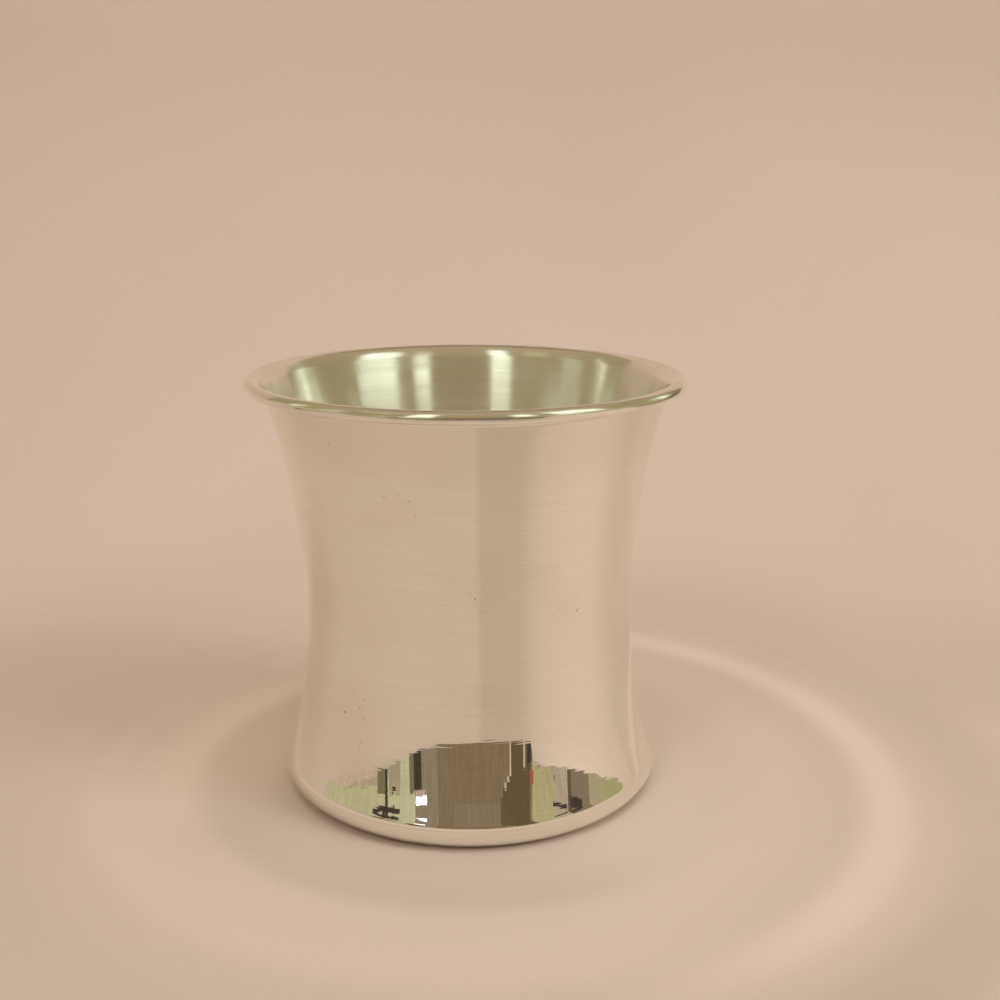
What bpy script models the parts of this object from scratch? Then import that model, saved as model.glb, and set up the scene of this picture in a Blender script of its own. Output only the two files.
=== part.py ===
"""Ritual water cup: one thin spun wall with a rounded foot edge, a narrow waist and a beaded rim.

Units are metres and +Z is up. The origin is the middle of the underside, on the ground.
"""
import math

import bmesh
import bpy
from mathutils import Vector

# Rim
HEIGHT = 0.0720
RIM_RADIUS = 0.0372
BEAD_RADIUS = 0.00108

# Lip: the short band that turns out from the wall and rolls over to the bead
LIP_BEND_RADIUS = 0.03435
LIP_DEPTH = 0.00225
LIP_ARCH_RADIUS = 0.0080

# Wall, measured on the outside; an angle is how far the wall leans from upright
WALL_THICKNESS = 0.0006
WAIST_RADIUS = 0.0282
WAIST_HEIGHT = 0.0322
SHOULDER_RADIUS = 0.0294
SHOULDER_RISE = 0.0144
SHOULDER_FLARE = math.radians(8.6)
LIP_FLARE = math.radians(20.0)

# Foot: the rounded edge between the wall and the flat underside
FOOT_RADIUS = 0.03305
FOOT_EDGE_RADIUS = 0.00364
FOOT_SPREAD = math.radians(21.0)

# Fineness of the facets
TURN_STEPS = 80
FOOT_STEPS = 6
WALL_STEPS = 5
LIP_STEPS = 2
BEAD_STEPS = 8
SHARP_ANGLE = math.radians(25.0)
MERGE_DISTANCE = 0.000001

# Silver, polished and then brushed on the wheel
SILVER_COLOUR = (0.80, 0.77, 0.72, 1.0)
SILVER_ROUGHNESS = 0.28


def clear_scene():
    """Remove every object, so that the model starts from nothing."""
    for obj in list(bpy.data.objects):
        bpy.data.objects.remove(obj, do_unlink=True)


def silver_material():
    """Pale warm silver."""
    material = bpy.data.materials.new("silver")
    material.use_nodes = True
    shader = material.node_tree.nodes["Principled BSDF"]
    shader.inputs["Base Color"].default_value = SILVER_COLOUR
    shader.inputs["Metallic"].default_value = 1.0
    shader.inputs["Roughness"].default_value = SILVER_ROUGHNESS
    return material


def on_circle(centre, radius, angle):
    """Point of a circle in the plane of the profile, radius across and height up."""
    return centre + radius * Vector((math.cos(angle), math.sin(angle)))


def arc(centre, radius, start, end, steps):
    """Points along a circle from one angle to another, both ends included."""
    angles = [start + (end - start) * i / steps for i in range(steps + 1)]
    return [on_circle(centre, radius, angle) for angle in angles]


def sweep(start, start_slope, end, end_slope, steps):
    """Cubic curve between two points of the wall, without the first point.

    A slope is the gain in radius for each metre of height.
    """
    rise = end.y - start.y
    points = []
    for i in range(1, steps + 1):
        t = i / steps
        radius = (
            (2 * t**3 - 3 * t**2 + 1) * start.x
            + (t**3 - 2 * t**2 + t) * rise * start_slope
            + (3 * t**2 - 2 * t**3) * end.x
            + (t**3 - t**2) * rise * end_slope
        )
        points.append(Vector((radius, start.y + t * rise)))
    return points


def outer_wall():
    """Outside of the sheet from the edge of the underside up to the bend of the lip."""
    edge_centre = Vector((FOOT_RADIUS - FOOT_EDGE_RADIUS, FOOT_EDGE_RADIUS))
    foot = arc(edge_centre, FOOT_EDGE_RADIUS, -math.pi / 2, FOOT_SPREAD, FOOT_STEPS)
    waist = Vector((WAIST_RADIUS, WAIST_HEIGHT))
    shoulder = Vector((SHOULDER_RADIUS, WAIST_HEIGHT + SHOULDER_RISE))
    bend = Vector((LIP_BEND_RADIUS, HEIGHT - LIP_DEPTH))
    skirt = sweep(foot[-1], -math.tan(FOOT_SPREAD), waist, 0.0, WALL_STEPS)
    breast = sweep(waist, 0.0, shoulder, math.tan(SHOULDER_FLARE), WALL_STEPS - 1)
    throat = sweep(shoulder, math.tan(SHOULDER_FLARE), bend, math.tan(LIP_FLARE), WALL_STEPS)
    return foot + skirt + breast + throat


def bead_centre():
    """Middle of the bead's round section."""
    return Vector((RIM_RADIUS - BEAD_RADIUS, HEIGHT - BEAD_RADIUS))


def lip_angle(bend):
    """Climb of the lip's underside, which runs toward the middle of the bead."""
    reach = bead_centre() - bend
    return math.atan2(reach.y, reach.x) - math.asin(WALL_THICKNESS / 2 / reach.length)


def lip_arch(bend):
    """Top of the lip, a flat arch from the inner bend that runs on smoothly into the bead.

    Gives the points, and the angle round the bead where they end.
    """
    reach = bead_centre() - bend
    bead_reach = LIP_ARCH_RADIUS - BEAD_RADIUS
    along = (LIP_ARCH_RADIUS**2 - bead_reach**2 + reach.length_squared) / (2 * reach.length)
    out = reach.normalized()
    down = Vector((out.y, -out.x))
    centre = bend + along * out + math.sqrt(LIP_ARCH_RADIUS**2 - along**2) * down
    start, end = [math.atan2(*(point - centre).yx) for point in (bend, bead_centre())]
    return arc(centre, LIP_ARCH_RADIUS, start, end, LIP_STEPS), end


def bead(bend, start):
    """Section of the bead, from the end of the lip's top over to its underside."""
    half_sheet = math.asin(WALL_THICKNESS / 2 / BEAD_RADIUS)
    end = lip_angle(bend) - math.pi + half_sheet
    return arc(bead_centre(), BEAD_RADIUS, start, end, BEAD_STEPS)


def inner_wall(outside, lip_climb):
    """Inside of the sheet, one wall thickness in from the outside, for the same points."""
    headings = [(b - a).normalized() for a, b in zip(outside, outside[1:])]
    headings = [Vector((1.0, 0.0))] + headings + [Vector((math.cos(lip_climb), math.sin(lip_climb)))]
    inside = []
    for point, before, after in zip(outside, headings, headings[1:]):
        turn = before + after
        inward = Vector((-turn.y, turn.x)) * (WALL_THICKNESS / (1.0 + before.dot(after)))
        inside.append(point + inward)
    return inside


def cup_profile():
    """Closed section of the sheet, from the middle of the floor round to the middle of the underside."""
    outside = outer_wall()
    inside = inner_wall(outside, lip_angle(outside[-1]))
    lip_top, bead_start = lip_arch(inside[-1])
    rim = lip_top + bead(outside[-1], bead_start)[1:]
    floor_centre = Vector((0.0, WALL_THICKNESS))
    underside_centre = Vector((0.0, 0.0))
    return [floor_centre] + inside[:-1] + rim + outside[::-1] + [underside_centre]


def turned(name, profile, material):
    """Solid made by turning a profile about the upright axis."""
    mesh = bpy.data.meshes.new(name)
    shape = bmesh.new()
    verts = [shape.verts.new((point.x, 0.0, point.y)) for point in profile]
    edges = [shape.edges.new(pair) for pair in zip(verts, verts[1:])]
    bmesh.ops.spin(
        shape,
        geom=verts + edges,
        cent=(0.0, 0.0, 0.0),
        axis=(0.0, 0.0, 1.0),
        angle=2 * math.pi,
        steps=TURN_STEPS,
        use_merge=True,
    )
    bmesh.ops.remove_doubles(shape, verts=shape.verts, dist=MERGE_DISTANCE)
    bmesh.ops.recalc_face_normals(shape, faces=shape.faces)
    shape.to_mesh(mesh)
    shape.free()
    mesh.materials.append(material)
    mesh.shade_smooth()
    mesh.set_sharp_from_angle(angle=SHARP_ANGLE)
    obj = bpy.data.objects.new(name, mesh)
    bpy.context.scene.collection.objects.link(obj)
    return obj


def build():
    """The whole cup is one piece of sheet."""
    clear_scene()
    turned("cup", cup_profile(), silver_material())


build()
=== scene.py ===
"""Looks of a ritual water cup: one thin silver wall, turned and polished on the wheel, in a soft studio.

Lengths are metres and +Z is up. The cup stands at the origin and its front faces -Y.
"""
import math

import bpy
from mathutils import Matrix, Vector


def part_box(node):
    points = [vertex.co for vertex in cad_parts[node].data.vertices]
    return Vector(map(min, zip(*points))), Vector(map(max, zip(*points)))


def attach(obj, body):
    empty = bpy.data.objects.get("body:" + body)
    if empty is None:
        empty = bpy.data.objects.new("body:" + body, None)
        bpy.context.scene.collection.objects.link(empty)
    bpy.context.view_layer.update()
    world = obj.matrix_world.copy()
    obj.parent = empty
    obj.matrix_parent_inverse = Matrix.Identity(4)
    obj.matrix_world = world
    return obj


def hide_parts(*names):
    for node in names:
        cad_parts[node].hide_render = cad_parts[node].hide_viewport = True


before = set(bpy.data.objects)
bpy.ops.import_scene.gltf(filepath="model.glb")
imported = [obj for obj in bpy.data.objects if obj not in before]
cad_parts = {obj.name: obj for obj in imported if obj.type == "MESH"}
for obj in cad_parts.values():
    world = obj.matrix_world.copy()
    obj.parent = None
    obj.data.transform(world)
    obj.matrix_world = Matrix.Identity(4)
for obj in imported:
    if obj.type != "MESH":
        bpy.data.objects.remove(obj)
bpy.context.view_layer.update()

cup_low, cup_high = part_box("cup")

# Sizes of the cup, the outside of the wall, as in its solid model
HEIGHT = cup_high[2]
RIM_RADIUS = (cup_high[0] - cup_low[0]) / 2
BEAD_RADIUS = 0.00108
LIP_BEND_RADIUS = 0.03435
LIP_DEPTH = 0.00225
LIP_BAND_FLARE = math.radians(30.0)
ROLL_RADIUS = 0.0022
WALL_THICKNESS = 0.0006
WAIST_RADIUS = 0.0282
WAIST_HEIGHT = 0.0322
SHOULDER_RADIUS = 0.0294
SHOULDER_RISE = 0.0144
SHOULDER_FLARE = math.radians(8.6)
LIP_FLARE = math.radians(20.0)
FOOT_RADIUS = 0.03305
FOOT_EDGE_RADIUS = 0.00364
FOOT_SPREAD = math.radians(21.0)

# Fineness of the turned wall
TURN_STEPS = 180
WALL_STEP = 0.0004
FOOT_STEPS = 24
LIP_STEPS = 16
BEAD_STEPS = 36
BEND_STEPS = 5
INNER_BEND_ROUNDING = 0.0003
OUTER_BEND_ROUNDING = 0.0006
LIP_UNDERSIDE_STEPS = 4
FLOOR_STEPS = 30
MERGE_DISTANCE = 1e-7

# Traces of the hand and the wheel: the rim stands a little to the left of the foot
LEAN = 0.0092
RING_DEPTH = 0.000002
RINGS_PER_METRE = 700.0

# Camera of the photograph
CAMERA_DISTANCE = 0.2188
CAMERA_HEIGHT = 0.10565
CAMERA_TURN = math.radians(1.572)
CAMERA_TILT = math.radians(14.354)
CAMERA_ROLL = math.radians(0.081)
CAMERA_SENSOR = 36.0
CAMERA_LENS = 46.83
CAMERA_SIDE = -0.00087

# Colours of the silver, from its brightest brush lines to its tarnish
SILVER_CLEAN = (0.965, 0.975, 0.905, 1.0)
SILVER_DULL = (0.91, 0.91, 0.835, 1.0)
SILVER_WARM = (0.86, 0.84, 0.72, 1.0)
TARNISH = (0.33, 0.26, 0.16, 1.0)

# Finish of the silver: features per metre, round the cup and up the wall
BRUSH_LINES = (45.0, 5200.0)
BROAD_LINES = (26.0, 420.0)
GROOVES = (110.0, 1800.0)
CLOUDS = (70.0, 70.0)
SPECKS = (900.0, 900.0)
DULL_LIP_FROM = 0.056
DULL_LIP_TO = 0.066
DULL_LIP_SHARE = 0.55
CLOUD_SHARE = 0.35
HAZE_SHARE = 0.25

# Tarnished places on the outside: middle and reach
TARNISH_SPOTS = (
    ((-0.0107, -0.0290, 0.0548), 0.0050),
    ((0.0152, -0.0237, 0.0376), 0.0045),
    ((0.0017, -0.0288, 0.0428), 0.0050),
    ((-0.0200, -0.0216, 0.0192), 0.0060),
    ((-0.0211, -0.0261, 0.0658), 0.0070),
    ((0.0018, -0.0285, 0.0248), 0.0040),
)

# The studio: paper that curves up behind the cup
PAPER = (0.606, 0.515, 0.474)
PAPER_LEFT = -0.60
PAPER_RIGHT = 0.24
PAPER_TOP = 0.312
FLOOR_LEVEL = -0.00002
SWEEP_START = 0.12
SWEEP_RADIUS = 0.15
SWEEP_STEPS = 24

# Outline of the paper in front, X and Y: it ends where the foot begins to mirror the room
PAPER_FRONT = (
    (-0.6, 0.0), (-0.175, -0.002), (-0.292, -0.034), (-0.471, -0.3), (-0.426, -0.34), (-0.293, -0.271),
    (-0.181, -0.221), (-0.119, -0.202), (-0.073, -0.204), (0.0, -0.219), (0.062, -0.203), (0.124, -0.172),
    (1.2, -1.45), (1.2, -0.3), (0.677, -0.194), (0.633, -0.038), (0.24, 0.0),
)

# Painted light on the paper round the cup, the ring of light that the cup throws back and a lighter floor
# close round the foot against its shadow: distance from the cup's axis and brightness
RING_LEFT = (
    (0.0, 1.10), (0.038, 1.06), (0.046, 1.01), (0.052, 1.12),
    (0.064, 1.13), (0.072, 1.05), (0.082, 1.01), (0.2, 1.02),
)
RING_RIGHT = (
    (0.0, 1.18), (0.038, 1.15), (0.046, 1.12), (0.055, 1.13),
    (0.0665, 1.08), (0.0735, 1.27), (0.081, 1.09), (0.088, 1.03), (0.2, 1.03),
)
RING_RIGHT_TURN = 92.0
RING_RIGHT_SPREAD = (0.15, 0.75)

# Glow close behind the cup's left: turn, its spread as a cosine, distances where it ends, and strength
GLOW_TURN = -130.0
GLOW_SPREAD = (0.3, 0.95)
GLOW_END = (0.048, 0.064)
GLOW_GAIN = 0.28

# Painted shadow and painted light on the paper in two sectors, a darker one in front a little to the right
# and a lighter one further round to the right: turns where they begin, turns where they end, distances
# where they begin, and gain
PAINTED_SECTORS = (
    ((2.5, 8.5), (20.0, 75.0), (0.08, 0.09), -0.13),
    ((28.0, 44.0), (78.0, 112.0), (0.093, 0.104), 0.17),
)

# Painted light and shade on the paper, slow changes of its brightness: axis, where from and to, and the
# brightness at both
PAINTED_LIGHT_FADES = (
    ("Y", 0.02, 0.11, 1.0, 1.1),
    ("Z", 0.01, 0.22, 1.0, 1.18),
    ("X", -0.16, 0.16, 1.045, 0.995),
    ("Y", -0.3, -0.12, 0.91, 1.0),
)
PAPER_GRAIN = 1500.0
PAPER_WAVES = (7.0, 5.0)

# Soft lamps: turn from the front to the right, climb, distance, size, power and colour
LAMPS = (
    ("lamp_right", 61.0, 35.0, 1.2, 0.45, 4.0, (1.0, 0.97, 0.92)),
    ("lamp_left", -33.0, 44.0, 1.2, 0.22, 1.6, (1.0, 0.97, 0.92)),
    ("lamp_top", 30.0, 75.0, 1.3, 0.8, 5.5, (1.0, 0.97, 0.93)),
)

# Room that the silver mirrors: colours by height, and plain upright cards given by angles from the cup
ROOM_DOWN = (0.12, 0.085, 0.05, 1.0)
ROOM_CLIMB = (
    (-0.1, 0.05, (0.23, 0.175, 0.095, 1.0)),
    (0.05, 0.5, (0.34, 0.27, 0.145, 1.0)),
    (0.5, 1.0, (0.42, 0.325, 0.20, 1.0)),
)
ROOM_WALL = (0.60, 0.45, 0.35, 1.0)
FOLDS = (22.0, 2.5)
FOLD_SHADE = (0.88, 1.12)
CARD_REACH = 3.0
CARD_GAP = 0.01
CARD_STEP = 4.0
CARD_LEAN = 0.007
PALE_GREEN = (0.47, 0.42, 0.235)
GREEN = (0.36, 0.38, 0.17)
MAUVE = (0.42, 0.31, 0.225)
GREY_BROWN = (0.27, 0.205, 0.14)
BROWN = (0.215, 0.15, 0.09)
OLIVE = (0.20, 0.16, 0.085)
DARK_BROWN = (0.13, 0.09, 0.05)
DARK = (0.06, 0.045, 0.032)
CREAM = (0.55, 0.42, 0.32)
PINK = (0.53, 0.39, 0.27)
ROSE = (0.50, 0.35, 0.28)
RED = (0.36, 0.12, 0.06)
YELLOW_GREEN = (0.50, 0.46, 0.28)
SAGE = (0.44, 0.37, 0.20)
BEIGE = (0.38, 0.29, 0.19)
SAND = (0.44, 0.34, 0.245)
MAUVE_BROWN = (0.235, 0.17, 0.112)
LEAF = (0.40, 0.33, 0.19)
MOSS = (0.37, 0.34, 0.16)
LAMP_WHITE = (2.0, 2.0, 1.9)

# Cards: left, right, low, high and colour
CARDS = (
    (-120.0, -53.5, -8.0, 14.0, PALE_GREEN),
    (-95.0, -85.0, -8.0, 0.6, GREEN),
    (-83.5, -79.0, -8.0, 1.2, MAUVE),
    (-80.0, -70.0, -8.0, 0.9, MAUVE),
    (-70.0, -58.9, -8.0, 1.9, MAUVE),
    (-88.0, -59.5, -8.0, 0.3, PINK),
    (-58.9, -53.9, -8.0, 3.9, OLIVE),
    (-53.5, -35.0, -8.0, 14.0, YELLOW_GREEN),
    (-52.3, -44.0, -8.0, 4.9, BEIGE),
    (-49.6, -47.2, 3.2, 4.2, DARK),
    (-53.9, -52.3, -8.0, 9.8, DARK),
    (-62.0, -54.0, 6.6, 7.8, DARK),
    (-56.0, -48.0, 7.1, 8.5, DARK),
    (-50.0, -44.8, 7.9, 9.1, DARK),
    (-35.0, -20.8, -8.0, 14.0, GREY_BROWN),
    (-38.3, -35.5, -8.0, 5.0, OLIVE),
    (-35.5, -30.7, -8.0, 4.5, DARK),
    (-34.5, -28.5, 4.7, 5.6, ROSE),
    (-34.5, -27.7, 5.8, 7.9, LAMP_WHITE),
    (-34.8, -28.0, 11.2, 12.5, LAMP_WHITE),
    (-20.8, 24.5, -8.0, 14.0, BROWN),
    (-10.3, 17.8, 8.5, 14.0, MAUVE_BROWN),
    (24.4, 36.5, -8.0, 14.0, DARK_BROWN),
    (22.6, 24.4, 2.4, 14.0, DARK_BROWN),
    (20.8, 22.6, 3.6, 14.0, DARK_BROWN),
    (19.4, 20.8, 5.0, 14.0, DARK_BROWN),
    (18.0, 19.4, 7.0, 14.0, DARK_BROWN),
    (23.6, 24.6, -8.0, 2.2, CREAM),
    (22.0, 23.4, 2.2, 3.4, CREAM),
    (20.4, 21.6, 3.6, 5.2, CREAM),
    (32.2, 33.4, -8.0, 0.3, CREAM),
    (34.7, 36.9, -8.0, -0.4, DARK),
    (37.8, 51.5, -8.0, 14.0, SAGE),
    (51.5, 53.2, 2.5, 14.0, SAGE),
    (36.3, 38.6, 0.6, 3.7, RED),
    (50.1, 52.5, -8.0, 1.5, MAUVE),
    (52.5, 60.7, -8.0, 14.0, SAND),
    (60.7, 63.0, -8.0, 14.0, DARK_BROWN),
    (63.0, 75.0, -8.0, 14.0, MAUVE_BROWN),
    (62.3, 70.0, 5.2, 7.5, DARK),
    (51.0, 60.0, 7.2, 8.1, DARK),
    (75.0, 84.9, -8.0, 14.0, LEAF),
    (83.4, 87.1, -0.9, 0.4, DARK),
    (84.9, 120.0, -8.0, 14.0, MOSS),
)

# Strips higher up, mirrored in the lip and inside the cup: left, right, low, high and colour
STRIP_WHITE = (1.4, 1.45, 1.25)
STRIPS = (
    (155.0, 205.0, 40.0, 66.0, (0.22, 0.165, 0.09)),
    (-64.0, -44.0, 40.0, 56.0, (0.52, 0.46, 0.26)),
    (108.0, 127.0, 5.0, 24.0, (0.62, 0.60, 0.40)),
    (116.0, 121.5, 5.0, 22.0, (1.15, 1.2, 0.9)),
    (47.0, 75.0, 15.0, 36.0, (1.15, 1.2, 0.92)),
    (49.0, 78.0, 36.0, 54.0, STRIP_WHITE),
    (24.5, 35.0, 15.0, 46.0, (1.25, 1.3, 0.96)),
    (-30.0, -17.0, 15.0, 42.0, (1.2, 1.24, 0.9)),
    (-31.0, -18.0, 42.0, 60.0, STRIP_WHITE),
    (-80.0, -66.0, 15.0, 40.0, (0.52, 0.48, 0.32)),
    (-99.0, -94.0, 10.0, 34.0, (1.1, 1.1, 0.8)),
)


# The turned profile

def on_circle(centre, radius, angle):
    """Point of a circle in the plane of the profile, radius across and height up."""
    return centre + radius * Vector((math.cos(angle), math.sin(angle)))


def arc(centre, radius, start, end, steps):
    """Points along a circle from one angle to another, both ends included."""
    angles = [start + (end - start) * i / steps for i in range(steps + 1)]
    return [on_circle(centre, radius, angle) for angle in angles]


def straight(start, end, steps):
    """Points along a straight line, without the first."""
    return [start.lerp(end, i / steps) for i in range(1, steps + 1)]


def sweep(start, start_slope, end, end_slope):
    """Cubic curve between two points of the wall, without the first; a slope is radius gained by height."""
    rise = end.y - start.y
    steps = max(4, round(rise / WALL_STEP))
    points = []
    for i in range(1, steps + 1):
        t = i / steps
        radius = (
            (2 * t**3 - 3 * t**2 + 1) * start.x
            + (t**3 - 2 * t**2 + t) * rise * start_slope
            + (3 * t**2 - 2 * t**3) * end.x
            + (t**3 - t**2) * rise * end_slope
        )
        points.append(Vector((radius, start.y + t * rise)))
    return points


def outer_wall():
    """Outside of the sheet from the edge of the underside up to the bend of the lip."""
    edge_centre = Vector((FOOT_RADIUS - FOOT_EDGE_RADIUS, FOOT_EDGE_RADIUS))
    foot = arc(edge_centre, FOOT_EDGE_RADIUS, -math.pi / 2, FOOT_SPREAD, FOOT_STEPS)
    waist = Vector((WAIST_RADIUS, WAIST_HEIGHT))
    shoulder = Vector((SHOULDER_RADIUS, WAIST_HEIGHT + SHOULDER_RISE))
    bend = Vector((LIP_BEND_RADIUS, HEIGHT - LIP_DEPTH))
    skirt = sweep(foot[-1], -math.tan(FOOT_SPREAD), waist, 0.0)
    breast = sweep(waist, 0.0, shoulder, math.tan(SHOULDER_FLARE))
    throat = sweep(shoulder, math.tan(SHOULDER_FLARE), bend, math.tan(LIP_FLARE))
    return foot + skirt + breast + throat


def bead_centre():
    """Middle of the bead's round section."""
    return Vector((RIM_RADIUS - BEAD_RADIUS, HEIGHT - BEAD_RADIUS))


def lip_angle(bend):
    """Climb of the lip's underside, which runs toward the middle of the bead."""
    reach = bead_centre() - bend
    return math.atan2(reach.y, reach.x) - math.asin(WALL_THICKNESS / 2 / reach.length)


def lip_roll(bend):
    """Top of the lip: the roll that the straight band from the inner bend meets, and that ends in the bead.

    Gives the points, and the angle round the bead where they end.
    """
    across = Vector((-math.cos(LIP_BAND_FLARE), math.sin(LIP_BAND_FLARE)))
    reach = bead_centre() - bend
    roll_reach = ROLL_RADIUS - BEAD_RADIUS
    start = math.pi - LIP_BAND_FLARE
    end = start - math.acos((reach.dot(across) + ROLL_RADIUS) / roll_reach)
    centre = on_circle(bead_centre(), -roll_reach, end)
    return arc(centre, ROLL_RADIUS, start, end, LIP_STEPS), end


def bead(bend, start):
    """Section of the bead, from the end of the lip's top over to its underside."""
    half_sheet = math.asin(WALL_THICKNESS / 2 / BEAD_RADIUS)
    end = lip_angle(bend) - math.pi + half_sheet
    return arc(bead_centre(), BEAD_RADIUS, start, end, BEAD_STEPS)


def inner_wall(outside, lip_climb):
    """Inside of the sheet, one wall thickness in from the outside, for the same points."""
    headings = [(b - a).normalized() for a, b in zip(outside, outside[1:])]
    headings = [Vector((1.0, 0.0))] + headings + [Vector((math.cos(lip_climb), math.sin(lip_climb)))]
    inside = []
    for point, before, after in zip(outside, headings, headings[1:]):
        turn = before + after
        inward = Vector((-turn.y, turn.x)) * (WALL_THICKNESS / (1.0 + before.dot(after)))
        inside.append(point + inward)
    return inside


def rounded_bend(before, corner, after, rounding):
    """Small curve in a corner's place, tangent to the lines on both sides of it."""
    start = corner + (before - corner).normalized() * rounding
    end = corner + (after - corner).normalized() * rounding
    points = []
    for i in range(BEND_STEPS + 1):
        t = i / BEND_STEPS
        points.append(start.lerp(corner, t).lerp(corner.lerp(end, t), t))
    return points


def cup_profile():
    """Section of the sheet from the middle of the floor round to the middle of the underside.

    Gives the points, and the places in the list where the lip begins and ends.
    """
    outside = outer_wall()
    inside = inner_wall(outside, lip_angle(outside[-1]))
    roll, bead_start = lip_roll(inside[-1])
    ring = bead(outside[-1], bead_start)
    inner_bend = rounded_bend(inside[-2], inside[-1], roll[0], INNER_BEND_ROUNDING)
    outer_bend = rounded_bend(ring[-1], outside[-1], outside[-2], OUTER_BEND_ROUNDING)
    bend_end = outside[-1].y - OUTER_BEND_ROUNDING
    below_bend = [point for point in reversed(outside) if point.y < bend_end]
    middle = Vector((0.0, WALL_THICKNESS))
    floor = [middle] + straight(middle, inside[0], FLOOR_STEPS)
    underside = straight(outside[0], Vector((0.0, 0.0)), FLOOR_STEPS)
    points = floor + inside[1:-1] + inner_bend
    lip_start = len(points) - BEND_STEPS // 2 - 1
    points += roll + ring[1:]
    points += straight(ring[-1], outer_bend[0], LIP_UNDERSIDE_STEPS)[:-1]
    lip_end = len(points) + BEND_STEPS // 2
    points += outer_bend + below_bend + underside
    return points, lip_start, lip_end


# Helpers for node trees

def add_node(tree, kind, **settings):
    """New node with its settings."""
    node = tree.nodes.new(kind)
    for key, value in settings.items():
        setattr(node, key, value)
    return node


def link(tree, value, socket):
    """Link an output to a socket, or set the socket's own value."""
    if isinstance(value, bpy.types.NodeSocket):
        tree.links.new(value, socket)
    else:
        socket.default_value = value


def maths(tree, operation, *values, clamp=False):
    """Result of a Math node."""
    node = add_node(tree, "ShaderNodeMath", operation=operation, use_clamp=clamp)
    for socket, value in zip(node.inputs, values):
        link(tree, value, socket)
    return node.outputs[0]


def joined(tree, x, y, z):
    """Vector made of three numbers."""
    node = add_node(tree, "ShaderNodeCombineXYZ")
    for socket, value in zip(node.inputs, (x, y, z)):
        link(tree, value, socket)
    return node.outputs[0]


def axes(tree, vector):
    """The three numbers of a vector, by the names of their axes."""
    node = add_node(tree, "ShaderNodeSeparateXYZ")
    link(tree, vector, node.inputs[0])
    return node.outputs


# The wheel: Geometry Nodes that turn the profile into the wall

WHEEL_INPUTS = (
    ("Geometry", "NodeSocketGeometry"),
    ("Profile points", "NodeSocketInt"),
    ("Turn steps", "NodeSocketInt"),
    ("Lip start", "NodeSocketInt"),
    ("Lip end", "NodeSocketInt"),
    ("Ring depth", "NodeSocketFloat"),
    ("Rings per metre", "NodeSocketFloat"),
    ("Lean", "NodeSocketFloat"),
    ("Inside finish", "NodeSocketMaterial"),
    ("Lip finish", "NodeSocketMaterial"),
    ("Outside finish", "NodeSocketMaterial"),
)


def ringed_profile(tree, given, length):
    """The profile's own points, pushed out and in by the lathe's rings."""
    ring = add_node(tree, "ShaderNodeTexNoise", noise_dimensions="1D")
    link(tree, maths(tree, "MULTIPLY", length, given["Rings per metre"]), ring.inputs["W"])
    ring.inputs["Scale"].default_value = 1.0
    ring.inputs["Detail"].default_value = 1.0
    depth = maths(tree, "MULTIPLY", maths(tree, "SUBTRACT", ring.outputs[0], 0.5), given["Ring depth"])
    across = add_node(tree, "ShaderNodeVectorMath", operation="CROSS_PRODUCT")
    link(tree, add_node(tree, "GeometryNodeInputTangent").outputs[0], across.inputs[0])
    across.inputs[1].default_value = (0.0, 1.0, 0.0)
    push = add_node(tree, "ShaderNodeVectorMath", operation="SCALE")
    link(tree, across.outputs[0], push.inputs[0])
    link(tree, depth, push.inputs["Scale"])
    profile = add_node(tree, "GeometryNodeSetPosition")
    link(tree, given["Geometry"], profile.inputs["Geometry"])
    link(tree, push.outputs[0], profile.inputs["Offset"])
    return profile.outputs[0]


def sampled(tree, source, field, kind, index):
    """A field's value at one point of a geometry."""
    sample = add_node(tree, "GeometryNodeSampleIndex", data_type=kind, domain="POINT")
    link(tree, source, sample.inputs["Geometry"])
    link(tree, field, sample.inputs["Value"])
    link(tree, index, sample.inputs["Index"])
    return sample.outputs[0]


def turned_place(tree, place, turned, lean):
    """Place of a point of the profile after its share of a full turn, moved to the left by the lean."""
    spin = add_node(tree, "ShaderNodeVectorRotate", rotation_type="Z_AXIS")
    link(tree, place, spin.inputs["Vector"])
    link(tree, maths(tree, "MULTIPLY", turned, 2 * math.pi), spin.inputs["Angle"])
    upright = axes(tree, spin.outputs[0])
    shift = maths(tree, "MULTIPLY", upright["Z"], lean)
    return joined(tree, maths(tree, "SUBTRACT", upright["X"], shift), upright["Y"], upright["Z"])


def stored(tree, geometry, name, value, kind, domain):
    """Geometry with a value kept on it by name."""
    store = add_node(tree, "GeometryNodeStoreNamedAttribute", data_type=kind, domain=domain)
    link(tree, geometry, store.inputs["Geometry"])
    store.inputs["Name"].default_value = name
    link(tree, value, store.inputs["Value"])
    return store.outputs[0]


def painted(tree, geometry, finish, where):
    """Geometry with a finish on its selected faces."""
    paint = add_node(tree, "GeometryNodeSetMaterial")
    link(tree, geometry, paint.inputs["Geometry"])
    link(tree, where, paint.inputs["Selection"])
    link(tree, finish, paint.inputs["Material"])
    return paint.outputs[0]


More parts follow.
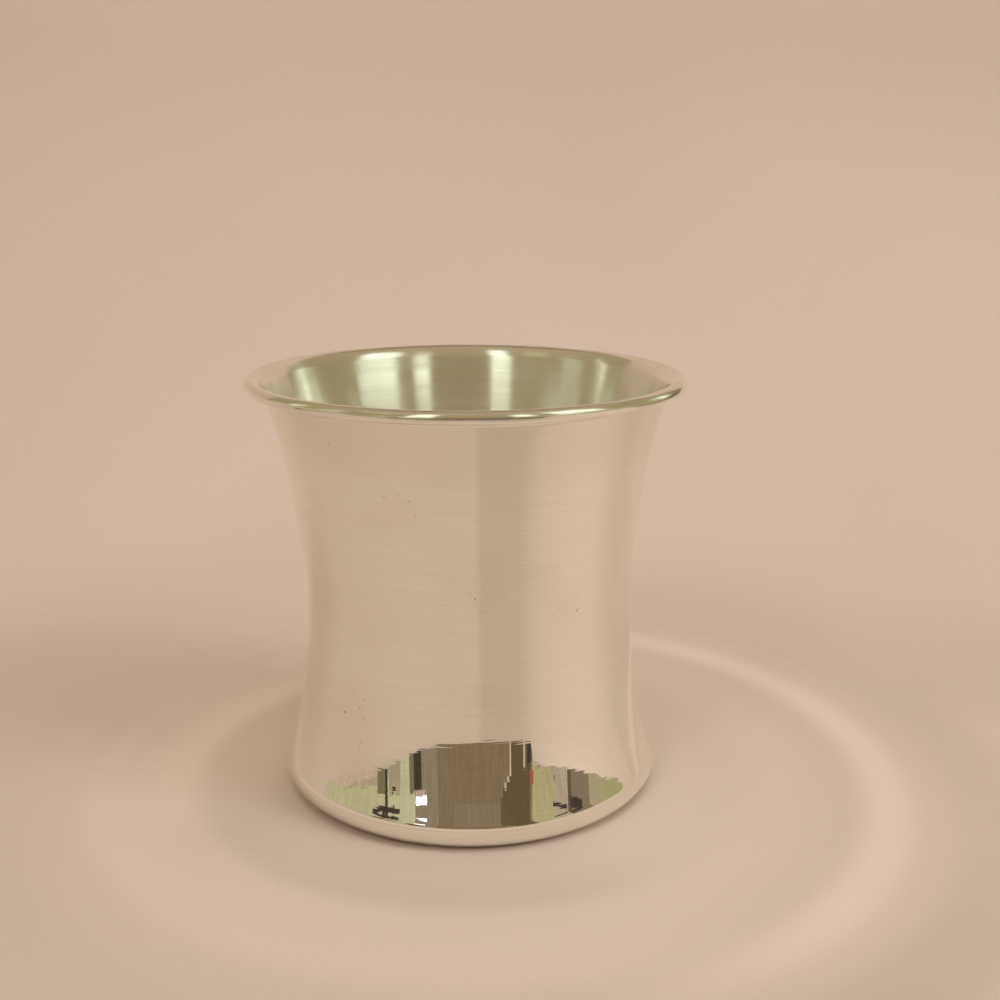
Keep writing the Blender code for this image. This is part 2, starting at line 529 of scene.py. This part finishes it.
def wheel_tree():
    """Turns a profile curve about the upright axis, with the lathe's faint rings and the finishes."""
    tree = bpy.data.node_groups.new("turned_on_the_wheel", "GeometryNodeTree")
    for name, kind in WHEEL_INPUTS:
        tree.interface.new_socket(name, in_out="INPUT", socket_type=kind)
    tree.interface.new_socket("Geometry", in_out="OUTPUT", socket_type="NodeSocketGeometry")
    given = add_node(tree, "NodeGroupInput").outputs
    result = add_node(tree, "NodeGroupOutput").inputs

    # a grid with one column for each point of the profile and one row for each step of the turn
    grid = add_node(tree, "GeometryNodeMeshGrid")
    rows = maths(tree, "ADD", given["Turn steps"], 1)
    link(tree, given["Profile points"], grid.inputs["Vertices X"])
    link(tree, rows, grid.inputs["Vertices Y"])
    index = add_node(tree, "GeometryNodeInputIndex").outputs[0]
    column = maths(tree, "FLOOR", maths(tree, "DIVIDE", maths(tree, "ADD", index, 0.5), rows))
    row = maths(tree, "SUBTRACT", index, maths(tree, "MULTIPLY", column, rows))
    turned = maths(tree, "DIVIDE", row, given["Turn steps"])

    # each column takes its point of the profile, and each row turns it
    length = add_node(tree, "GeometryNodeSplineParameter").outputs["Length"]
    profile = ringed_profile(tree, given, length)
    position = add_node(tree, "GeometryNodeInputPosition").outputs[0]
    place = sampled(tree, profile, position, "FLOAT_VECTOR", column)
    path = sampled(tree, profile, length, "FLOAT", column)
    placed = add_node(tree, "GeometryNodeSetPosition")
    link(tree, grid.outputs["Mesh"], placed.inputs["Geometry"])
    link(tree, turned_place(tree, place, turned, given["Lean"]), placed.inputs["Position"])

    # the column, which tells where each finish goes, and a flat map of the wall; then the ring is closed
    flat = add_node(tree, "GeometryNodeFieldOnDomain", data_type="FLOAT_VECTOR", domain="POINT")
    link(tree, joined(tree, turned, path, 0.0), flat.inputs[0])
    wall = stored(tree, placed.outputs[0], "column", column, "FLOAT", "POINT")
    wall = stored(tree, wall, "wheel", flat.outputs[0], "FLOAT2", "CORNER")
    closed = add_node(tree, "GeometryNodeMergeByDistance")
    link(tree, wall, closed.inputs["Geometry"])
    closed.inputs["Distance"].default_value = MERGE_DISTANCE
    smooth = add_node(tree, "GeometryNodeSetShadeSmooth")
    link(tree, closed.outputs[0], smooth.inputs["Geometry"])
    real = add_node(tree, "GeometryNodeRealizeInstances")
    link(tree, smooth.outputs[0], real.inputs["Geometry"])

    here = add_node(tree, "GeometryNodeInputNamedAttribute", data_type="FLOAT")
    here.inputs["Name"].default_value = "column"
    before_lip = maths(tree, "LESS_THAN", here.outputs[0], given["Lip start"])
    after_lip = maths(tree, "GREATER_THAN", here.outputs[0], given["Lip end"])
    coated = painted(tree, real.outputs[0], given["Lip finish"], True)
    coated = painted(tree, coated, given["Inside finish"], before_lip)
    coated = painted(tree, coated, given["Outside finish"], after_lip)
    link(tree, coated, result["Geometry"])
    return tree


def profile_curve(points):
    """Curve that holds the profile, radius along X and height along Z."""
    curve = bpy.data.curves.new("cup_profile", "CURVE")
    curve.dimensions = "3D"
    spline = curve.splines.new("POLY")
    spline.points.add(len(points) - 1)
    for target, point in zip(spline.points, points):
        target.co = (point.x, 0.0, point.y, 1.0)
    obj = bpy.data.objects.new("cup_profile", curve)
    bpy.context.scene.collection.objects.link(obj)
    return obj


def turned_cup(finishes):
    """The cup's wall as a plain mesh, turned from its profile."""
    points, lip_start, lip_end = cup_profile()
    template = profile_curve(points)
    wheel = template.modifiers.new("wheel", "NODES")
    wheel.node_group = wheel_tree()
    inputs = {
        "Profile points": len(points),
        "Turn steps": TURN_STEPS,
        "Lip start": lip_start,
        "Lip end": lip_end,
        "Ring depth": RING_DEPTH,
        "Rings per metre": RINGS_PER_METRE,
        "Lean": LEAN,
        "Inside finish": finishes["inside"],
        "Lip finish": finishes["lip"],
        "Outside finish": finishes["outside"],
    }
    for item in wheel.node_group.interface.items_tree:
        if item.in_out == "INPUT" and item.name in inputs:
            wheel[item.identifier] = inputs[item.name]
    graph = bpy.context.evaluated_depsgraph_get()
    mesh = bpy.data.meshes.new_from_object(template.evaluated_get(graph))
    mesh.name = "silver_cup"
    bpy.data.objects.remove(template, do_unlink=True)
    cup = bpy.data.objects.new("silver_cup", mesh)
    bpy.context.scene.collection.objects.link(cup)
    return cup


# Silver

def noise(tree, place, across, along, detail=2.0, rough=0.5):
    """Noise drawn out round the cup; `across` and `along` are its features per metre, level and upright."""
    stretch = add_node(tree, "ShaderNodeMapping", vector_type="POINT")
    link(tree, place, stretch.inputs["Vector"])
    stretch.inputs["Scale"].default_value = (across, across, along)
    cloud = add_node(tree, "ShaderNodeTexNoise")
    link(tree, stretch.outputs[0], cloud.inputs["Vector"])
    cloud.inputs["Scale"].default_value = 1.0
    cloud.inputs["Detail"].default_value = detail
    cloud.inputs["Roughness"].default_value = rough
    return cloud.outputs[0]


def between(tree, value, low, high, at_low=0.0, at_high=1.0):
    """Smooth step of a value from at_low to at_high."""
    node = add_node(tree, "ShaderNodeMapRange", interpolation_type="SMOOTHSTEP")
    for socket, number in zip(node.inputs, (value, low, high, at_low, at_high)):
        link(tree, number, socket)
    return node.outputs[0]


def mixed(tree, share, first, second):
    """Colour between two colours."""
    node = add_node(tree, "ShaderNodeMix", data_type="RGBA")
    link(tree, share, node.inputs["Factor"])
    link(tree, first, node.inputs["A"])
    link(tree, second, node.inputs["B"])
    return node.outputs["Result"]


def near(tree, place, centre, reach, core=0.25):
    """One at a spot on the wall, falling to nothing at `reach` from it."""
    apart = add_node(tree, "ShaderNodeVectorMath", operation="DISTANCE")
    link(tree, place, apart.inputs[0])
    apart.inputs[1].default_value = centre
    return between(tree, apart.outputs["Value"], reach * core, reach, 1.0, 0.0)


def new_material(name):
    """Material with an empty tree, its shader and its place coordinates."""
    material = bpy.data.materials.new(name)
    material.use_nodes = True
    tree = material.node_tree
    tree.nodes.clear()
    shader = add_node(tree, "ShaderNodeBsdfPrincipled")
    output = add_node(tree, "ShaderNodeOutputMaterial")
    link(tree, shader.outputs[0], output.inputs["Surface"])
    place = add_node(tree, "ShaderNodeTexCoord").outputs["Object"]
    return material, tree, shader, place


def relief(tree, height, depth, under=None):
    """Bump of a height that runs from nothing to `depth` metres."""
    node = add_node(tree, "ShaderNodeBump")
    node.inputs["Strength"].default_value = 1.0
    node.inputs["Distance"].default_value = depth
    link(tree, height, node.inputs["Height"])
    if under is not None:
        link(tree, under, node.inputs["Normal"])
    return node.outputs[0]


def silver_colour(tree, place, lines, tarnish):
    """Colour of the brushed metal, with tarnish in specks and soft patches, and duller toward the lip."""
    cloud = noise(tree, place, *CLOUDS, detail=4.0, rough=0.6)
    colour = mixed(tree, between(tree, lines, 0.3, 0.7), SILVER_DULL, SILVER_CLEAN)
    warmth = maths(tree, "MULTIPLY", between(tree, cloud, 0.5, 0.75), CLOUD_SHARE)
    colour = mixed(tree, warmth, colour, SILVER_WARM)

    spots = between(tree, noise(tree, place, *SPECKS, rough=0.6), 0.66, 0.72)
    patch = between(tree, cloud, 0.56, 0.66, 0.0, 0.12)
    for centre, reach in TARNISH_SPOTS:
        patch = maths(tree, "MAXIMUM", patch, near(tree, place, centre, reach))
    share = maths(tree, "MULTIPLY", maths(tree, "MULTIPLY", spots, patch), tarnish)
    colour = mixed(tree, share, colour, TARNISH)
    haze = maths(tree, "MULTIPLY", patch, HAZE_SHARE * tarnish)
    colour = mixed(tree, haze, colour, SILVER_WARM)

    height = axes(tree, place)["Z"]
    toward_lip = between(tree, height, DULL_LIP_FROM, DULL_LIP_TO, 0.0, DULL_LIP_SHARE * tarnish)
    return mixed(tree, toward_lip, colour, SILVER_WARM)


def silver(name, roughness, anisotropy, line_depth, groove_depth, tarnish):
    """Warm silver with the wheel's brush lines, which stretch what it mirrors up and down the wall."""
    material, tree, shader, place = new_material(name)
    lines = noise(tree, place, *BRUSH_LINES, detail=3.0, rough=0.6)
    broad = noise(tree, place, *BROAD_LINES, detail=3.0)
    link(tree, silver_colour(tree, place, lines, tarnish), shader.inputs["Base Color"])
    shader.inputs["Metallic"].default_value = 1.0
    link(tree, between(tree, broad, 0.35, 0.65, *roughness), shader.inputs["Roughness"])
    shader.inputs["Anisotropic"].default_value = anisotropy
    shader.inputs["Anisotropic Rotation"].default_value = 0.25

    grooves = noise(tree, place, *GROOVES, detail=1.0)
    fine = relief(tree, lines, line_depth)
    link(tree, relief(tree, grooves, groove_depth, fine), shader.inputs["Normal"])
    return material


def cup_finishes():
    """The finishes: a brushed inside, a smoother lip, and a polished outside that has tarnished most."""
    inside = silver("silver_inside", roughness=(0.20, 0.26), anisotropy=1.0,
                    line_depth=0.000001, groove_depth=0.0000004, tarnish=0.3)
    lip = silver("silver_lip", roughness=(0.16, 0.21), anisotropy=0.9,
                 line_depth=0.0000002, groove_depth=0.0, tarnish=0.3)
    outside = silver("silver_outside", roughness=(0.012, 0.02), anisotropy=0.6,
                     line_depth=0.0000003, groove_depth=0.000004, tarnish=1.0)
    return {"inside": inside, "lip": lip, "outside": outside}


# The studio

def emission(name, colour):
    """Glowing colour with faint upright streaks, as folds and shelves would make."""
    material = bpy.data.materials.new(name)
    material.use_nodes = True
    tree = material.node_tree
    tree.nodes.clear()
    place = add_node(tree, "ShaderNodeTexCoord").outputs["Object"]
    streaks = noise(tree, place, *FOLDS, detail=4.0, rough=0.7)
    glow = add_node(tree, "ShaderNodeEmission")
    glow.inputs["Color"].default_value = (*colour, 1.0)
    link(tree, between(tree, streaks, 0.3, 0.7, *FOLD_SHADE), glow.inputs["Strength"])
    output = add_node(tree, "ShaderNodeOutputMaterial")
    link(tree, glow.outputs[0], output.inputs["Surface"])
    return material


def staged(name, points, faces, material):
    """Mesh that belongs to the studio."""
    mesh = bpy.data.meshes.new(name)
    mesh.from_pydata(points, [], faces)
    mesh.materials.append(material)
    obj = bpy.data.objects.new(name, mesh)
    bpy.context.scene.collection.objects.link(obj)
    return obj


def toward(turn, climb, reach):
    """Place seen from the cup at a turn from the front to the right and a climb, both in degrees."""
    turn, climb = math.radians(turn), math.radians(climb)
    flat = reach * math.cos(climb)
    return Vector((flat * math.sin(turn), -flat * math.cos(turn), reach * math.sin(climb)))


def mirrored_only(obj):
    """Leave an object to the silver's mirror alone."""
    obj.visible_camera = False
    obj.visible_diffuse = False
    obj.visible_shadow = False


def card(name, place, colour, lean):
    """Plain curved card that only the silver mirrors, given by the angles it covers as seen from the cup.

    A lean draws its edges in toward the front as they climb.
    """
    left, right, low, high, reach = place
    steps = math.ceil((right - left) / CARD_STEP)
    points = []
    for i in range(steps + 1):
        turn = left + (right - left) * i / steps
        for climb in (low, high):
            points.append(toward(turn * (1.0 - lean * climb), climb, reach / math.cos(math.radians(climb))))
    faces = [(2 * i, 2 * i + 2, 2 * i + 3, 2 * i + 1) for i in range(steps)]
    mirrored_only(staged(name, points, faces, emission(name, colour)))


def radial_shade(tree, radius, stops):
    """Shade by distance from the cup, as a ramp of (distance, brightness)."""
    ramp = add_node(tree, "ShaderNodeValToRGB")
    ramp.color_ramp.interpolation = "EASE"
    far = stops[-1][0]
    link(tree, maths(tree, "DIVIDE", radius, far), ramp.inputs[0])
    elements = ramp.color_ramp.elements
    while len(elements) < len(stops):
        elements.new(0.5)
    for element, (distance, shade) in zip(elements, stops):
        element.position = distance / far
        element.color = (shade / 2, shade / 2, shade / 2, 1.0)
    return maths(tree, "MULTIPLY", ramp.outputs[0], 2.0)


def painted_light_round_cup(tree, turn, radius):
    """Painted light and shade on the paper round the cup: the ring of light that the cup throws back, a
    painted glow, and a painted shadow and a painted light in two sectors.
    """
    from_right = maths(tree, "SUBTRACT", turn, math.radians(RING_RIGHT_TURN))
    ring = add_node(tree, "ShaderNodeMix", data_type="FLOAT")
    link(tree, between(tree, maths(tree, "COSINE", from_right), *RING_RIGHT_SPREAD), ring.inputs["Factor"])
    link(tree, radial_shade(tree, radius, RING_LEFT), ring.inputs["A"])
    link(tree, radial_shade(tree, radius, RING_RIGHT), ring.inputs["B"])
    shade = ring.outputs["Result"]
    # painted shadow in one sector and painted light in the other
    for begin, end, distance, gain in PAINTED_SECTORS:
        sides = maths(tree, "MULTIPLY",
                      between(tree, turn, math.radians(begin[0]), math.radians(begin[1]), 0.0, gain),
                      between(tree, turn, math.radians(end[0]), math.radians(end[1]), 1.0, 0.0))
        sector = maths(tree, "MULTIPLY", sides, between(tree, radius, *distance))
        shade = maths(tree, "MULTIPLY", shade, maths(tree, "ADD", 1.0, sector))
    from_glow = maths(tree, "SUBTRACT", turn, math.radians(GLOW_TURN))
    glow = between(tree, maths(tree, "COSINE", from_glow), *GLOW_SPREAD)
    glow = maths(tree, "MULTIPLY", glow, between(tree, radius, *GLOW_END, 1.0, 0.0))
    glow = maths(tree, "MULTIPLY", glow, GLOW_GAIN)
    return maths(tree, "MULTIPLY", shade, maths(tree, "ADD", 1.0, glow))


def paper_material():
    """Pale pink paper, with painted light and shade: the light that the cup throws back, a painted shadow,
    and slow changes of brightness.
    """
    material, tree, shader, place = new_material("studio_paper")
    along = axes(tree, place)
    length = add_node(tree, "ShaderNodeVectorMath", operation="LENGTH")
    link(tree, joined(tree, along["X"], along["Y"], 0.0), length.inputs[0])
    turn = maths(tree, "ARCTAN2", along["X"], maths(tree, "MULTIPLY", along["Y"], -1.0))
    shade = painted_light_round_cup(tree, turn, length.outputs["Value"])
    # painted light and shade: slow changes of brightness across the paper
    for axis, *span in PAINTED_LIGHT_FADES:
        shade = maths(tree, "MULTIPLY", shade, between(tree, along[axis], *span))
    grain = noise(tree, place, PAPER_GRAIN, PAPER_GRAIN)
    waves = noise(tree, place, *PAPER_WAVES, detail=1.0)
    shade = maths(tree, "MULTIPLY", shade, between(tree, grain, 0.2, 0.8, 0.99, 1.01))
    shade = maths(tree, "MULTIPLY", shade, between(tree, waves, 0.2, 0.8, 0.97, 1.03))
    tint = add_node(tree, "ShaderNodeVectorMath", operation="SCALE")
    tint.inputs[0].default_value = PAPER
    link(tree, shade, tint.inputs["Scale"])
    link(tree, tint.outputs[0], shader.inputs["Base Color"])
    shader.inputs["Roughness"].default_value = 1.0
    shader.inputs["Specular IOR Level"].default_value = 0.0
    return material


def paper_sweep():
    """Floor and backdrop in one sheet that curves up behind the cup, and the floor in front of it."""
    centre = Vector((SWEEP_START, FLOOR_LEVEL + SWEEP_RADIUS))
    line = [Vector((0.0, FLOOR_LEVEL))]
    line += arc(centre, SWEEP_RADIUS, -math.pi / 2, 0.0, SWEEP_STEPS)
    line.append(Vector((SWEEP_START + SWEEP_RADIUS, FLOOR_LEVEL + PAPER_TOP)))
    points = []
    for y, z in line:
        points += [(PAPER_LEFT, y, z), (PAPER_RIGHT, y, z)]
    faces = [(2 * i, 2 * i + 1, 2 * i + 3, 2 * i + 2) for i in range(len(line) - 1)]
    material = paper_material()
    sheet = staged("paper_sweep", points, faces, material)
    for face in sheet.data.polygons:
        face.use_smooth = True
    front = [(x, y, FLOOR_LEVEL) for x, y in PAPER_FRONT]
    staged("paper_front", front, [tuple(range(len(front)))], material)


def lamp(name, turn, climb, reach, size, power, colour):
    """Square soft light that faces the cup and stays out of its mirror."""
    data = bpy.data.lights.new(name, "AREA")
    data.size = size
    data.energy = power
    data.color = colour
    obj = bpy.data.objects.new(name, data)
    bpy.context.scene.collection.objects.link(obj)
    obj.location = toward(turn, climb, reach)
    obj.rotation_mode = "QUATERNION"
    obj.rotation_quaternion = obj.location.to_track_quat("Z", "Y")
    obj.visible_glossy = False
    obj.visible_camera = False


def surroundings():
    """World: a pale wall for the camera, and for the silver a dim room that is darker low down."""
    world = bpy.data.worlds.new("room")
    bpy.context.scene.world = world
    world.use_nodes = True
    tree = world.node_tree
    tree.nodes.clear()
    height = axes(tree, add_node(tree, "ShaderNodeTexCoord").outputs["Generated"])["Z"]
    room = ROOM_DOWN
    for low, high, colour in ROOM_CLIMB:
        room = mixed(tree, between(tree, height, low, high), room, colour)
    path = add_node(tree, "ShaderNodeLightPath")
    seen = mixed(tree, path.outputs["Is Camera Ray"], room, ROOM_WALL)
    glow = add_node(tree, "ShaderNodeBackground")
    link(tree, seen, glow.inputs["Color"])
    output = add_node(tree, "ShaderNodeOutputWorld")
    link(tree, glow.outputs[0], output.inputs["Surface"])


def studio():
    """Everything round the cup."""
    paper_sweep()
    surroundings()
    for i, (*angles, colour) in enumerate(CARDS):
        card(f"card_{i}", (*angles, CARD_REACH - CARD_GAP * i), colour, CARD_LEAN)
    for i, (*angles, colour) in enumerate(STRIPS):
        card(f"strip_{i}", (*angles, CARD_REACH + CARD_GAP * (len(STRIPS) - i)), colour, 0.0)
    for name, turn, climb, reach, size, power, colour in LAMPS:
        lamp(name, turn, climb, reach, size, power, colour)


def camera():
    """The photograph's camera."""
    data = bpy.data.cameras.new("camera")
    data.sensor_width = CAMERA_SENSOR
    data.lens = CAMERA_LENS
    data.clip_start = 0.01
    obj = bpy.data.objects.new("camera", data)
    bpy.context.scene.collection.objects.link(obj)
    turn = Matrix.Rotation(-CAMERA_TURN, 4, "Z")
    tilt = Matrix.Rotation(math.pi / 2 - CAMERA_TILT, 4, "X")
    roll = Matrix.Rotation(CAMERA_ROLL, 4, "Z")
    place = Matrix.Translation((CAMERA_SIDE, -CAMERA_DISTANCE, CAMERA_HEIGHT))
    obj.matrix_world = place @ turn @ tilt @ roll
    bpy.context.scene.camera = obj


cup = turned_cup(cup_finishes())
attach(cup, "root")
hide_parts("cup")
studio()
camera()
bpy.context.scene.view_settings.view_transform = "Standard"
